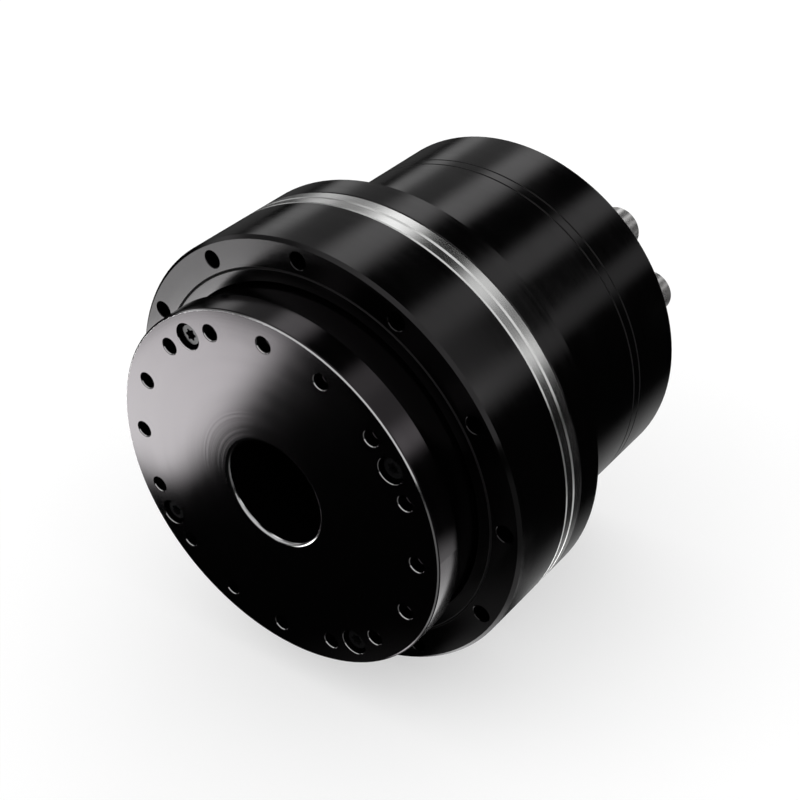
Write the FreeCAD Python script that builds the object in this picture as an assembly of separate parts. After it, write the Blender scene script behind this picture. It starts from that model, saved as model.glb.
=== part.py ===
import FreeCAD, Part
import math
import os

# Hollow-shaft robot joint actuator: a strain-wave gear on a crossed roller bearing in the
# front, a frameless motor and holding brake behind it, drive electronics and two connectors
# at the rear.  The joint axis is Y.  The output face lies at y = 0 and looks along -Y, the
# motor lies towards +Y, and +Z is up.  Millimetres.  Angles are clockwise seen from the front.

# ---- fits and clearances ------------------------------------------------------------------
SEAT_FIT = 0.02          # radial, between pieces that locate each other
RUN_FIT = 0.05           # radial, between pieces that run on each other
TURN_GAP = 0.6           # between a turning piece and a fixed one that it never touches
SMALL_GAP = 0.3          # the same where space is short

# ---- outer shape, from the output face backwards ------------------------------------------
TUBE_R = 60.5            # motor tube
TUBE_WALL = 6.0
FLANGE_WIDTH = 10.5      # the front housing stands out this far beyond the motor tube
FACE_SETBACK = 20.4      # output face to housing face
FRONT_LENGTH = 23.3      # front housing
BEARING_BAND = 3.7       # visible band of the bearing's outer ring
GEAR_BAND = 3.9          # visible rim of the flexspline
FLANGE_THICKNESS = 10.1  # flange of the motor housing
TUBE_LENGTH = 37.9       # motor tube behind its flange
PLATE_THICKNESS = 3.5    # bearing plate between the two tubes
REAR_LENGTH = 20.7       # rear housing
REAR_WALL = 3.2
SPIGOT = (3.0, 2.0)      # length and wall of the bearing plate's spigot in the tube
FACE_CHAMFER = 1.0       # front edge of the housing face
BAND_CHAMFER = 0.45      # edges of the steel bands
SEAM_CHAMFER = 0.25      # edges on both sides of a seam
REAR_CHAMFER = 0.6

# ---- housing bolts and the screws that hold the stack -------------------------------------
HOUSING_HOLES = 12
HOUSING_HOLE_R = 2.75    # clears M5
HOLE_CHAMFER = 0.2
SEAT_WALL = 1.8          # wall between a housing hole and the bearing seat

# ---- output flange ------------------------------------------------------------------------
RETAINER_WIDTH = 4.2     # radial width of the seal retainer
SEAL_GAP = 0.9           # open gap round the neck
NECK_TAPER = 2.4         # the disc stands out this far beyond the neck
DISC_EDGE = 8.8          # straight edge of the output disc
DISC_CHAMFER = 0.6
WEB_THICKNESS = 14.0     # disc between the bore and the gear
WEB_ROUND = 2.0
BORE_ROUND = 1.3
OUTPUT_HOLES = 16
OUTPUT_HOLE_R = 2.5      # M5 thread
OUTPUT_HOLE_DEPTH = 16.0
OUTPUT_CHAMFER = 0.3
BOLT_RIM = 5.1           # neck surface to the output bolt circle
SPLINE_EDGE = 4.15       # output bolt circle to the barrel of the circular spline
SCREWS = 4
SCREW_SUNK = 1.3         # output face to the heads of its own screws
REST_TURN = 60.0         # angle of the first flange screw at rest

# ---- crossed roller bearing ---------------------------------------------------------------
BEARING_WIDTH = 13.2
RACE_WALL = 1.75         # outer ring behind the roller groove
ROLLER_R = 2.3
ROLLERS = 40
RING_CHAMFER = 0.4
RING_SPLIT = 0.6         # gap between the two rings
RETAINER_DEPTH = 4.0
SEAL_WIDTH = 3.6
SEAL_CASE = 1.2          # wall of the seal's outer case
SEAL_FLEX = 0.9          # wall of its lip
SEAL_NOSE = 0.5          # radial depth of the lip's edge

# ---- strain-wave gear ---------------------------------------------------------------------
FLEX_TEETH = 100
SPLINE_TEETH = FLEX_TEETH + 2
SPLINE_WALL = 5.5        # circular spline behind its teeth
SPLINE_FLANGE = 2.9
SPLINE_SEAT = 2.0        # depth of its screws' counterbores
SPLINE_TURN = 3.0        # these screws are turned this far from the output holes
FLANK_ANGLE = 28.0       # of the teeth, from the radius
TOOTH_HEAD = 0.56        # in modules
TOOTH_FOOT = 0.6875
TOOTH_RELIEF = 0.6       # in modules, round the teeth of the circular spline
SPLINE_STEP = 0.5        # the spline's flange to the edge of the bearing ring
TOOTH_MARGIN = 0.8       # bearing ring's end to the ends of the flexspline's teeth
HOLLOW_DEPTH = 2.5       # in modules, hollow of the output flange inside the pitch circle
BACKLASH = 0.10          # between flanks, along the pitch circle
FLEX_WALL = 0.9          # flexspline under its teeth
DIAPHRAGM = 1.1
CLAMP_WIDTH = 21.0       # radial width of the flexspline's clamped rim
RACE_THICK = 1.65
BALL_SPACE = 5.8         # between the races of the thin wave bearing
PLUG_WALL = 6.9          # mean wall of the oval plug on the shaft
WAVE_WIDTH = 10.0
RACE_INSET = 0.5         # plug's ends to the races
BALL_INSET = 1.5         # plug's ends to the balls

# ---- shafts and motor ---------------------------------------------------------------------
BORE_TUBE_WALL = 1.8
SHAFT_GAP = 0.7
SHAFT_WALL = 3.0
SHOULDER = 3.5           # shaft shoulder behind the wave generator
SHOULDER_STEP = 1.3      # each step of the shaft
CIRCLIP = 1.0            # depth and width of its groove
CIRCLIP_GAP = 5.0
EDGE_BREAK = 0.4         # shaft and bearing edges
BEARING_RING = 2.7       # inner ring of the motor bearings
BEARING_SHELL = 3.5      # their outer ring
BEARING_LIP = 1.0
MOTOR_BEARING_WIDTH = 7.0
BEARING_BOSS = 4.0
FRONT_WALL = 4.0
INSIDE_ROUND = 2.0
STEP_ROUND = 0.8         # tube into its flange
STATOR_LEDGE = 1.5       # the stator seats on this step of the tube
SHAFT_SEAL = 2.4         # the shaft seal stands out of the motor housing
SEAL_WALL = 0.8
STATOR_SLOTS = 12
POLES = 14
BRAKE_GAP = 2.9          # windings to brake
YOKE = 5.0
STATOR_TOOTH = 7.6
TOOTH_LENGTH = 12.5
TOOTH_TIP = 1.8
TIP_WIDTH = 14.5
COIL_THICK = 3.0
COIL_OVERHANG = 3.6
AIR_GAP = 0.7
MAGNET_THICK = 2.8
MAGNET_SHARE = 0.86      # of a pole pitch
ROTOR_YOKE = 4.2
ROTOR_WEB = 5.0

# ---- holding brake ------------------------------------------------------------------------
MAGNET_DEPTH = 7.4       # body that holds the coil
BRAKE_EDGE = 3.0         # tube wall to the brake's plates
COIL_DEPTH = 4.6
COIL_WIDTH = 7.0
ARMATURE = 1.7
LINING = 1.6
REACTION_PLATE = 1.5
BRAKE_TRAVEL = 0.3
DRAG_GAP = 0.1           # on each side of the friction disc
BRAKE_POSTS = 3
POST_R = 1.8
POST_EDGE = 3.2          # brake edge to its posts' circle
DISC_HUB = 3.6           # wall of the hexagonal hub under the friction disc

# ---- electronics --------------------------------------------------------------------------
BOARD_GAP = 1.5          # tube wall to the board's edge
BOARD_THICK = 1.6
BOARD_STANDOFF = 6.6
STANDOFF_R = 2.6
BOARD_SCREWS = 4
STANDOFF_EDGE = 4.5
STANDOFF_TURN = 12.0     # angle of the first standoff
TRANSISTORS = (5.0, 6.0, 1.0, 12.0, 120.0, 14.0, 6)  # across, radial, height, edge, first, pitch, count
CAPACITORS = (3.2, 5.0, 5.0, 130.0, 12.0, 4)         # radius, height, edge, first, pitch, count
CHIPS = (                # across, radial, height, from the board's edge, angle
    (9.0, 9.0, 1.2, 13.0, 230.0),
    (7.0, 7.0, 3.0, 8.0, 252.0),
    (12.0, 5.0, 4.0, 4.0, 300.0),
)
ENCODER_DISC = 1.0
ENCODER_RIM = 10.0       # radial width of an encoder disc
ENCODER_AIR = 0.8
READER = (9.0, 6.0)      # across and along the radius
READER_THICK = 0.6
READER_PLACE = 0.6       # of the encoder rim

# ---- rear face ----------------------------------------------------------------------------
CONNECTOR_R = 7.0
CONNECTOR_STAND = 6.4    # stands out of the rear face
CONNECTOR_CHAMFER = 0.5
CONNECTOR_EDGE = 1.5     # connector to the edge of the rear face
CONNECTORS = (           # name, angle, contacts, their radius and the radius of their circle
    ("power_connector", 45.0, 4, 1.0, 2.8),
    ("signal_connector", 70.0, 8, 0.5, 3.2),
)
CONNECTOR_NECK_R = 4.4
CONNECTOR_NECK = 6.0
CONNECTOR_WALL = 1.6
INSERT_SUNK = 1.0
PIN_LENGTH = 2.6
SOCKET_DEPTH = 3.0
SOCKET_GAP = 0.25
REAR_SCREWS = 6
REAR_SCREW_EDGE = 3.6    # rear edge to the screws' circle

# ---- screws: shank radius, head radius, head height, key radius ---------------------------
M3 = (1.5, 2.75, 3.0, 1.35)
M4 = (2.0, 3.4, 4.0, 1.9)
HEAD_CLEARANCE = 0.75    # radial, round a head in its counterbore
SHANK_CLEARANCE = 0.15
HEAD_EDGE = 0.35
LOBE = 0.24              # in key radii, of the hexalobular sockets
THREAD = 2.5             # in nominal diameters, length held by the thread
THREAD_END = 0.5         # hole beyond the screw

# ---- worked out ---------------------------------------------------------------------------
BODY_R = TUBE_R + FLANGE_WIDTH
TUBE_IR = TUBE_R - TUBE_WALL
HOUSING_CIRCLE_R = TUBE_R + FLANGE_WIDTH / 2
SEAT_R = HOUSING_CIRCLE_R - HOUSING_HOLE_R - SEAT_WALL
NECK_R = SEAT_R - RETAINER_WIDTH - SEAL_GAP
DISC_R = NECK_R + NECK_TAPER
BOLT_CIRCLE_R = NECK_R - BOLT_RIM

Y_FACE = FACE_SETBACK
Y_BAND = Y_FACE + FRONT_LENGTH
Y_RIM = Y_BAND + BEARING_BAND
Y_FLANGE = Y_RIM + GEAR_BAND
Y_STEP = Y_FLANGE + FLANGE_THICKNESS
Y_PLATE = Y_STEP + TUBE_LENGTH
Y_REAR = Y_PLATE + PLATE_THICKNESS
Y_END = Y_REAR + REAR_LENGTH

Y_SEAL = Y_FACE + RETAINER_DEPTH
Y_BEARING = Y_SEAL + SEAL_WIDTH
GROOVE = ROLLER_R * math.sqrt(2)
ROLLER_CIRCLE_R = SEAT_R - RACE_WALL - GROOVE
Y_INNER = Y_BEARING - SMALL_GAP * 2
Y_ROLLER = Y_INNER + BEARING_WIDTH / 2
Y_INNER_END = Y_INNER + BEARING_WIDTH
INNER_RING_R = ROLLER_CIRCLE_R - RING_SPLIT / 2

SPLINE_R = BOLT_CIRCLE_R - SPLINE_EDGE
SPLINE_PITCH_R = (SPLINE_R - SPLINE_WALL) / (1 + 2 * TOOTH_FOOT / SPLINE_TEETH)
MODULE = 2 * SPLINE_PITCH_R / SPLINE_TEETH
FLEX_PITCH_R = MODULE * FLEX_TEETH / 2
WAVE = MODULE            # the flexspline bulges by one module on its long axis
FLEX_ROOT_R = FLEX_PITCH_R - TOOTH_FOOT * MODULE
FLEX_IR = FLEX_ROOT_R - FLEX_WALL
CLAMP_R = BODY_R - CLAMP_WIDTH

RACE_OUT_R = FLEX_IR - RUN_FIT
BALL_OUT_R = RACE_OUT_R - RACE_THICK
BALL_IN_R = BALL_OUT_R - BALL_SPACE
PLUG_R = BALL_IN_R - RACE_THICK
SHAFT_R = PLUG_R - PLUG_WALL
SHAFT_IR = SHAFT_R - SHAFT_WALL
BORE_TUBE_R = SHAFT_IR - SHAFT_GAP
BORE_R = BORE_TUBE_R - BORE_TUBE_WALL
INNER_R = SHAFT_R + BEARING_RING
OUTER_R = INNER_R + SMALL_GAP
BEARING_SEAT_R = OUTER_R + BEARING_SHELL
BEARING_BOSS_R = BEARING_SEAT_R + BEARING_BOSS
LIP_R = BEARING_SEAT_R - BEARING_SHELL / 2
STEP_R = SHAFT_R + SHOULDER_STEP

Y_TEETH = Y_INNER + TOOTH_MARGIN
Y_TEETH_END = Y_INNER_END + TOOTH_MARGIN / 2
Y_SPLINE_END = Y_INNER_END + SPLINE_FLANGE
Y_WAVE = (Y_TEETH + Y_TEETH_END - WAVE_WIDTH) / 2
Y_WAVE_END = Y_WAVE + WAVE_WIDTH

Y_FRONT_BEARING = Y_FLANGE + BEARING_LIP
Y_REAR_BEARING = Y_REAR - MOTOR_BEARING_WIDTH
STATOR_IR = TUBE_IR - YOKE - TOOTH_LENGTH
MAGNET_R = STATOR_IR - AIR_GAP
ROTOR_R = MAGNET_R - MAGNET_THICK

BRAKE_R = TUBE_IR - BRAKE_EDGE
Y_MAGNET = Y_PLATE - MAGNET_DEPTH
Y_ARMATURE = Y_MAGNET - BRAKE_TRAVEL - DRAG_GAP - ARMATURE
Y_LINING = Y_ARMATURE - DRAG_GAP - LINING
Y_REACTION = Y_LINING - DRAG_GAP - REACTION_PLATE
Y_STATOR = Y_STEP + SMALL_GAP * 2
Y_STATOR_END = Y_REACTION - BRAKE_GAP - COIL_OVERHANG
POST_CIRCLE_R = BRAKE_R - POST_EDGE
LINING_R = POST_CIRCLE_R - POST_R - TURN_GAP
DISC_HUB_R = SHAFT_R + DISC_HUB

BOARD_R = TUBE_IR - BOARD_GAP
Y_BOARD = Y_REAR + BOARD_STANDOFF
Y_BOARD_END = Y_BOARD + BOARD_THICK
Y_MOTOR_DISC = Y_BOARD - READER_THICK - ENCODER_AIR - ENCODER_DISC
Y_OUTPUT_DISC = Y_BOARD_END + READER_THICK + ENCODER_AIR
CONNECTOR_CIRCLE_R = TUBE_R - CONNECTOR_EDGE - CONNECTOR_R
REAR_SCREW_R = TUBE_R - REAR_SCREW_EDGE
Y_INSIDE = Y_END - REAR_WALL

ORIGIN = FreeCAD.Vector(0, 0, 0)
ALONG = FreeCAD.Vector(0, 1, 0)


# ---- shapes -------------------------------------------------------------------------------
def at(angle, r, y):
    """Point at a radius and an angle, clockwise from +Z seen from the front."""
    a = math.radians(angle)
    return FreeCAD.Vector(r * math.sin(a), y, r * math.cos(a))


def turn(shape, angle):
    """Copy of a shape, turned clockwise about the joint axis."""
    copy = shape.copy()
    copy.rotate(ORIGIN, ALONG, angle)
    return copy


def around(shape, count, first=0.0):
    """Equally spaced copies of a shape drawn at angle 0."""
    return [turn(shape, first + 360.0 * i / count) for i in range(count)]


def corner(before, point, after, size):
    """Ends of the edges at a profile corner, with a rounding (size > 0) or chamfer (< 0)."""
    u = (before - point).normalize()
    v = (after - point).normalize()
    if size < 0:
        return [point - u * size, point - v * size], None
    half = u.getAngle(v) / 2
    reach = size / math.tan(half)
    middle = (u + v).normalize()
    crown = point + middle * (size / math.sin(half) - size)
    return [point + u * reach, point + v * reach], crown


def turned(*corners):
    """Solid of revolution about the joint axis.

    Corners are (radius, y) or (radius, y, size); ("via", radius, y) bends the edge
    between its two neighbours into an arc through that point.
    """
    plain = [c for c in corners if c[0] != "via"]
    vias = {}
    for i, c in enumerate(corners):
        if c[0] == "via":
            vias[sum(1 for d in corners[:i] if d[0] != "via")] = FreeCAD.Vector(c[1], c[2], 0)
    points = [FreeCAD.Vector(c[0], c[1], 0) for c in plain]
    ends = []
    edges = []
    for i, c in enumerate(plain):
        if len(c) == 3:
            pair, crown = corner(points[i - 1], points[i], points[(i + 1) % len(points)], c[2])
            arc = Part.Arc(pair[0], crown, pair[1]).toShape() if crown else Part.makeLine(*pair)
            edges.append(arc)
        else:
            pair = [points[i], points[i]]
        ends.append(pair)
    for i, pair in enumerate(ends):
        start, stop = ends[i - 1][1], pair[0]
        if i in vias:
            edges.append(Part.Arc(start, vias[i], stop).toShape())
        else:
            edges.append(Part.makeLine(start, stop))
    wire = Part.Wire(Part.__sortEdges__(edges))
    return Part.Face(wire).revolve(ORIGIN, ALONG, 360)


def ring(r_in, r_out, y0, y1):
    return turned((r_in, y0), (r_out, y0), (r_out, y1), (r_in, y1))


def sector(r_in, r_out, y0, y1, angle):
    """Piece of a ring, centred on angle 0."""
    corners = [FreeCAD.Vector(0, y, r) for r, y in ((r_in, y0), (r_out, y0), (r_out, y1), (r_in, y1))]
    face = Part.Face(Part.makePolygon(corners + corners[:1]))
    face.rotate(ORIGIN, ALONG, -angle / 2)
    return face.revolve(ORIGIN, ALONG, angle)


def drill(r, y0, y1, circle_r, chamfer=0.0):
    """Cylinder along Y at angle 0, with a chamfer that opens at its y0 end."""
    tool = Part.makeCylinder(r, y1 - y0, at(0, circle_r, y0), ALONG)
    if chamfer:
        mouth = Part.makeCone(r + chamfer, r, chamfer, at(0, circle_r, y0), ALONG)
        tool = tool.fuse(mouth)
    return tool


def block(across, radial, r_mid, y0, y1):
    """Box at angle 0: across the radius, along the radius, and along Y."""
    return Part.makeBox(across, y1 - y0, radial, FreeCAD.Vector(-across / 2, y0, r_mid - radial / 2))


def oval(r, wave, y0, y1):
    """Elliptical prism, its long axis along Z at rest."""
    centre = FreeCAD.Vector(0, y0, 0)
    edge = Part.Ellipse(at(0, r + wave, y0), at(90, r - wave, y0), centre).toShape()
    return Part.Face(Part.Wire(edge)).extrude(ALONG * (y1 - y0))


def oval_taper(r, wave, y0, y1):
    """Wall that starts elliptical at y0 and ends round at y1."""
    start = Part.Ellipse(at(0, r + wave, y0), at(90, r - wave, y0), FreeCAD.Vector(0, y0, 0))
    stop = Part.Ellipse(at(0, r + 0.001, y1), at(90, r, y1), FreeCAD.Vector(0, y1, 0))
    return Part.makeLoft([Part.Wire(start.toShape()), Part.Wire(stop.toShape())], True, True)


def toothed(teeth, foot_r, head_r, pitch_r, half_width, wave, y0, y1):
    """Prism with straight-flanked teeth, bulged by cos(2 x angle) times the wave."""
    slope = math.tan(math.radians(FLANK_ANGLE))
    foot = (half_width + (pitch_r - foot_r) * slope) / foot_r
    head = (half_width - (head_r - pitch_r) * slope) / head_r
    points = []
    for i in range(teeth):
        centre = 2 * math.pi * i / teeth
        for r, offset in ((foot_r, -foot), (head_r, -head), (head_r, head), (foot_r, foot)):
            a = centre + offset
            bulged_r = r + wave * math.cos(2 * a)
            bulged_a = a - wave / (2 * pitch_r) * math.sin(2 * a)
            points.append(at(math.degrees(bulged_a), bulged_r, y0))
    face = Part.Face(Part.makePolygon(points + points[:1]))
    return face.extrude(ALONG * (y1 - y0))


def hex_socket(key_r, y, depth, circle_r):
    """Hexagonal recess at angle 0, open towards -Y."""
    corners = [at(0, circle_r, y) + at(60 * i, key_r, 0) for i in range(7)]
    return Part.Face(Part.makePolygon(corners)).extrude(ALONG * depth)


def lobed_socket(key_r, y, depth, circle_r):
    """Hexalobular recess at angle 0, open towards -Y."""
    lobe_r = key_r * LOBE
    tool = Part.makeCylinder(key_r - lobe_r, depth, at(0, circle_r, y), ALONG)
    for i in range(6):
        centre = at(0, circle_r, y) + at(60 * i, key_r - lobe_r, 0)
        tool = tool.fuse(Part.makeCylinder(lobe_r, depth, centre, ALONG))
    return tool


def cap_screw(size, y_head, length, circle_r, forwards=False):
    """Cap screw at angle 0: the head's top at y_head, the shank towards +Y (or -Y).

    The output flange's own screws are hexalobular, and those put in from behind hexagonal.
    """
    shank_r, head_r, head, key_r = size
    straight = head - HEAD_EDGE
    top = Part.makeCone(head_r - HEAD_EDGE, head_r, HEAD_EDGE, at(0, circle_r, y_head), ALONG)
    body = Part.makeCylinder(head_r, straight, at(0, circle_r, y_head + HEAD_EDGE), ALONG)
    shank = Part.makeCylinder(shank_r, length, at(0, circle_r, y_head + head), ALONG)
    socket = hex_socket if forwards else lobed_socket
    screw = top.fuse([body, shank]).cut(socket(key_r, y_head, head / 2, circle_r))
    if forwards:
        screw = screw.mirror(at(0, circle_r, y_head), ALONG)
    return screw.removeSplitter()


def counterbore(size, y_face, y_seat, y_end, circle_r, forwards=False):
    """Tool for a cap screw's head and its clearance hole."""
    shank_r, head_r = size[0], size[1]
    mouth = at(0, circle_r, y_face)
    tool = Part.makeCylinder(head_r + HEAD_CLEARANCE, abs(y_seat - y_face), mouth, ALONG)
    tool = tool.fuse(Part.makeCylinder(shank_r + SHANK_CLEARANCE, abs(y_end - y_face), mouth, ALONG))
    if forwards:
        tool = tool.mirror(mouth, ALONG)
    return tool


def bearing_rings(y0, y1):
    """Inner and outer ring of a shielded motor bearing."""
    edge = -EDGE_BREAK
    bore = SHAFT_R + SEAT_FIT
    seat = BEARING_SEAT_R - SEAT_FIT
    inner = turned((bore, y0, edge), (INNER_R, y0), (INNER_R, y1), (bore, y1, edge))
    outer = turned((OUTER_R, y0), (seat, y0, edge), (seat, y1, edge), (OUTER_R, y1))
    return inner, outer


# ---- output side --------------------------------------------------------------------------
def output_side():
    holes_first = REST_TURN + 180.0 / OUTPUT_HOLES
    rise = NECK_TAPER
    run = Y_FACE - DISC_EDGE
    cove_r = (rise * rise + run * run) / (2 * rise)
    half = math.asin(run / cove_r) / 2
    cove = ("via", NECK_R + cove_r * (1 - math.cos(half)), Y_FACE - cove_r * math.sin(half))
    seat = BORE_TUBE_R + SEAT_FIT
    hollow_r = SPLINE_PITCH_R - HOLLOW_DEPTH * MODULE
    flange = turned(
        (BORE_R, 0, BORE_ROUND), (DISC_R, 0, -DISC_CHAMFER), (DISC_R, DISC_EDGE), cove,
        (NECK_R, Y_FACE), (NECK_R, Y_INNER), (hollow_r, Y_INNER), (hollow_r, WEB_THICKNESS, WEB_ROUND),
        (seat, WEB_THICKNESS), (seat, WEB_THICKNESS / 2), (BORE_R, WEB_THICKNESS / 2))
    thread = drill(OUTPUT_HOLE_R, 0, OUTPUT_HOLE_DEPTH, BOLT_CIRCLE_R, OUTPUT_CHAMFER)
    y_seat = SCREW_SUNK + M4[2]
    own = counterbore(M4, 0, y_seat, Y_INNER, BOLT_CIRCLE_R)
    own = own.fuse(drill(M4[1] + HEAD_CLEARANCE, 0, SCREW_SUNK, BOLT_CIRCLE_R, OUTPUT_CHAMFER / 2))
    flange = flange.cut(around(thread, OUTPUT_HOLES, holes_first) + around(own, SCREWS, REST_TURN))

    tube = turned(
        (BORE_R, WEB_THICKNESS / 2), (BORE_TUBE_R, WEB_THICKNESS / 2),
        (BORE_TUBE_R, Y_END - REAR_CHAMFER, -REAR_CHAMFER), (BORE_R, Y_END - REAR_CHAMFER, -REAR_CHAMFER))

    solid = (Y_ROLLER - Y_INNER) - GROOVE / 2       # ring in front of the roller groove
    screw_length = Y_INNER + solid - y_seat
    screw = cap_screw(M4, SCREW_SUNK, screw_length, BOLT_CIRCLE_R)

    bore = SPLINE_R + SEAT_FIT
    inner = turned(
        (bore, Y_INNER), (INNER_RING_R, Y_INNER, -RING_CHAMFER),
        (INNER_RING_R, Y_ROLLER - GROOVE + RING_SPLIT / 2),
        (INNER_RING_R + RING_SPLIT / 2 - GROOVE, Y_ROLLER),
        (INNER_RING_R, Y_ROLLER + GROOVE - RING_SPLIT / 2),
        (INNER_RING_R, Y_INNER_END, -RING_CHAMFER), (bore, Y_INNER_END))
    tapped = drill(M4[0], Y_INNER, y_seat + screw_length + THREAD_END, BOLT_CIRCLE_R)
    spline_seat = Y_SPLINE_END - SPLINE_SEAT
    spline_head = spline_seat + M3[2]
    spline_length = spline_seat - Y_INNER_END + solid
    spline_tapped = drill(M3[0], spline_seat - spline_length - THREAD_END, Y_INNER_END, BOLT_CIRCLE_R)
    spline_first = holes_first + SPLINE_TURN
    inner = inner.cut(around(tapped, SCREWS, REST_TURN) + around(spline_tapped, OUTPUT_HOLES, spline_first))

    spline = ring(SPLINE_PITCH_R - 2 * MODULE, SPLINE_R, Y_INNER, Y_INNER_END)
    relief = SPLINE_PITCH_R + (TOOTH_FOOT + TOOTH_RELIEF) * MODULE
    flange_ring = ring(relief, INNER_RING_R - SPLINE_STEP, Y_INNER_END, Y_SPLINE_END)
    spline = spline.fuse(flange_ring).removeSplitter()
    quarter = math.pi * MODULE / 4
    crest_r, root_r = SPLINE_PITCH_R - TOOTH_HEAD * MODULE, SPLINE_PITCH_R + TOOTH_FOOT * MODULE
    spaces = toothed(SPLINE_TEETH, crest_r, root_r, SPLINE_PITCH_R, quarter + BACKLASH / 2, 0,
                     Y_INNER, Y_INNER_END)
    head_well = counterbore(M3, Y_SPLINE_END, spline_seat, Y_INNER_END, BOLT_CIRCLE_R, True)
    spline = spline.cut([spaces] + around(head_well, OUTPUT_HOLES, spline_first))
    spline_screw = cap_screw(M3, spline_head, spline_length, BOLT_CIRCLE_R, True)
    return {
        "output_flange": flange,
        "bore_tube": tube,
        "flange_screws": Part.makeCompound(around(screw, SCREWS, REST_TURN)),
        "bearing_inner_ring": inner,
        "circular_spline": spline,
        "spline_screws": Part.makeCompound(around(spline_screw, OUTPUT_HOLES, spline_first)),
    }


# ---- crossed rollers ----------------------------------------------------------------------
def roller_set():
    """Rollers lean 45 degrees, one way and the other by turns."""
    length = 2 * (ROLLER_R - RUN_FIT)
    rollers = []
    for i in range(ROLLERS):
        lean = 45 if i % 2 else -45
        axis = FreeCAD.Vector(0, math.sin(math.radians(lean)), math.cos(math.radians(lean)))
        centre = at(0, ROLLER_CIRCLE_R, Y_ROLLER)
        roller = Part.makeCylinder(ROLLER_R - RUN_FIT, length, centre - axis * (length / 2), axis)
        rollers.append(turn(roller, 360.0 * i / ROLLERS))
    return {"crossed_rollers": Part.makeCompound(rollers)}


# ---- housing side of the gear -------------------------------------------------------------
def front_housing():
    front = turned(
        (SEAT_R, Y_FACE, -SEAM_CHAMFER), (BODY_R, Y_FACE, -FACE_CHAMFER),
        (BODY_R, Y_BAND, -SEAM_CHAMFER), (SEAT_R, Y_BAND))
    bolt = drill(HOUSING_HOLE_R, Y_FACE, Y_BAND, HOUSING_CIRCLE_R, HOLE_CHAMFER)
    held = THREAD * 2 * M4[0]
    tapped = drill(M4[0], Y_BAND - held - THREAD_END, Y_BAND, HOUSING_CIRCLE_R)
    between = 180.0 / HOUSING_HOLES
    front = front.cut(around(bolt, HOUSING_HOLES) + around(tapped, HOUSING_HOLES, between))

    seat = SEAT_R - SEAT_FIT
    retainer_ir = NECK_R + SEAL_GAP
    retainer = turned(
        (retainer_ir, Y_FACE, -SEAM_CHAMFER), (seat, Y_FACE, -SEAM_CHAMFER),
        (seat, Y_SEAL), (retainer_ir, Y_SEAL))

    lip = NECK_R + RUN_FIT
    neck = retainer_ir + SEAL_NOSE
    case = seat - SEAL_CASE
    seal = turned(
        (neck, Y_SEAL), (seat, Y_SEAL), (seat, Y_BEARING), (case, Y_BEARING), (case, Y_SEAL + SEAL_CASE),
        (neck + SEAL_FLEX, Y_SEAL + SEAL_CASE), (lip + SEAL_FLEX, Y_BEARING - SEAL_NOSE),
        (lip, Y_BEARING - 2 * SEAL_NOSE), (lip + SEAL_NOSE, Y_BEARING - 3 * SEAL_NOSE))

    outer_r = ROLLER_CIRCLE_R + RING_SPLIT / 2
    groove = outer_r - RING_SPLIT / 2 + GROOVE
    outer = turned(
        (outer_r, Y_BEARING), (seat, Y_BEARING), (seat, Y_BAND), (BODY_R, Y_BAND, -BAND_CHAMFER),
        (BODY_R, Y_RIM, -BAND_CHAMFER), (outer_r, Y_RIM), (outer_r, Y_ROLLER + GROOVE - RING_SPLIT / 2),
        (groove, Y_ROLLER), (outer_r, Y_ROLLER - GROOVE + RING_SPLIT / 2))
    clear = drill(HOUSING_HOLE_R, Y_BAND, Y_RIM, HOUSING_CIRCLE_R)
    narrow = drill(M4[0] + SHANK_CLEARANCE, Y_BAND, Y_RIM, HOUSING_CIRCLE_R)
    outer = outer.cut(around(clear, HOUSING_HOLES) + around(narrow, HOUSING_HOLES, between))

    head_sunk = Y_STEP - SMALL_GAP
    length = head_sunk - M4[2] - Y_BAND + held
    screw = cap_screw(M4, head_sunk, length, HOUSING_CIRCLE_R, True)
    return {
        "front_housing": front,
        "seal_retainer": retainer,
        "output_seal": seal,
        "bearing_outer_ring": outer,
        "stack_screws": Part.makeCompound(around(screw, HOUSING_HOLES, between)),
    }


def flexspline():
    """Toothed cup of thin steel, bulged by the wave generator, with a rim clamped in the stack."""
    quarter = math.pi * MODULE / 4
    y_round = Y_RIM + DIAPHRAGM
    head_r = FLEX_PITCH_R + TOOTH_HEAD * MODULE
    teeth = toothed(FLEX_TEETH, FLEX_ROOT_R, head_r, FLEX_PITCH_R, quarter - BACKLASH / 2, WAVE,
                    Y_TEETH, Y_TEETH_END)
    wall = oval_taper(FLEX_ROOT_R, WAVE, Y_TEETH_END, y_round)
    inside = oval(FLEX_IR, WAVE, Y_TEETH, Y_TEETH_END).fuse(oval_taper(FLEX_IR, WAVE, Y_TEETH_END, y_round))
    disc = ring(FLEX_ROOT_R - FLEX_WALL / 2, CLAMP_R + DIAPHRAGM, Y_RIM, y_round)
    rim = turned(
        (CLAMP_R, Y_RIM), (BODY_R, Y_RIM, -BAND_CHAMFER), (BODY_R, Y_FLANGE, -BAND_CHAMFER),
        (CLAMP_R, Y_FLANGE))
    cup = teeth.fuse([wall, disc, rim]).cut(inside)
    clear = drill(HOUSING_HOLE_R, Y_RIM, Y_FLANGE, HOUSING_CIRCLE_R)
    narrow = drill(M4[0] + SHANK_CLEARANCE, Y_RIM, Y_FLANGE, HOUSING_CIRCLE_R)
    cuts = around(clear, HOUSING_HOLES) + around(narrow, HOUSING_HOLES, 180.0 / HOUSING_HOLES)
    return {"flexspline": cup.cut(cuts).removeSplitter()}


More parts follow.
